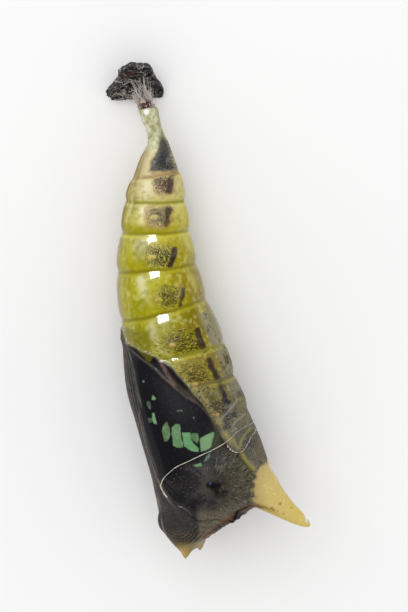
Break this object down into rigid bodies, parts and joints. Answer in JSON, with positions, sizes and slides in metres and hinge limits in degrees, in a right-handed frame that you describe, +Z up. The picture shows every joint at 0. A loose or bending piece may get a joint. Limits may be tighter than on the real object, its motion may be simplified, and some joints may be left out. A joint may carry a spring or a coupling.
{
  "type": "swallowtail butterfly chrysalis",
  "caption": "Butterfly chrysalis lying on its side: segmented abdomen, dark wing cases, long horn on the back, silk pad and a chip of bark at the tail.",
  "frame": {"origin": "middle of the underside of the whole object as it lies, on the surface it rests on", "axes": "+Z up from the surface, +Y towards the tail and the bark chip, +X towards the chrysalis's back and its horn"},
  "size_m": [0.0154, 0.0376, 0.0086],
  "materials": {
    "pupal_skin": "thin glossy translucent skin, yellow-green abdomen, blue-black wing cases with emerald spots",
    "silk": "dry off-white silk fibres",
    "bark": "rough weathered bark, near black with grey lichen rings"
  },
  "bodies": {
    "root": {"chrysalis": "pupal_skin", "silk_pad": "silk", "bark_chip": "bark", "girdle_strand": "silk", "girdle_loop": "silk"}
  },
  "joints": []
}
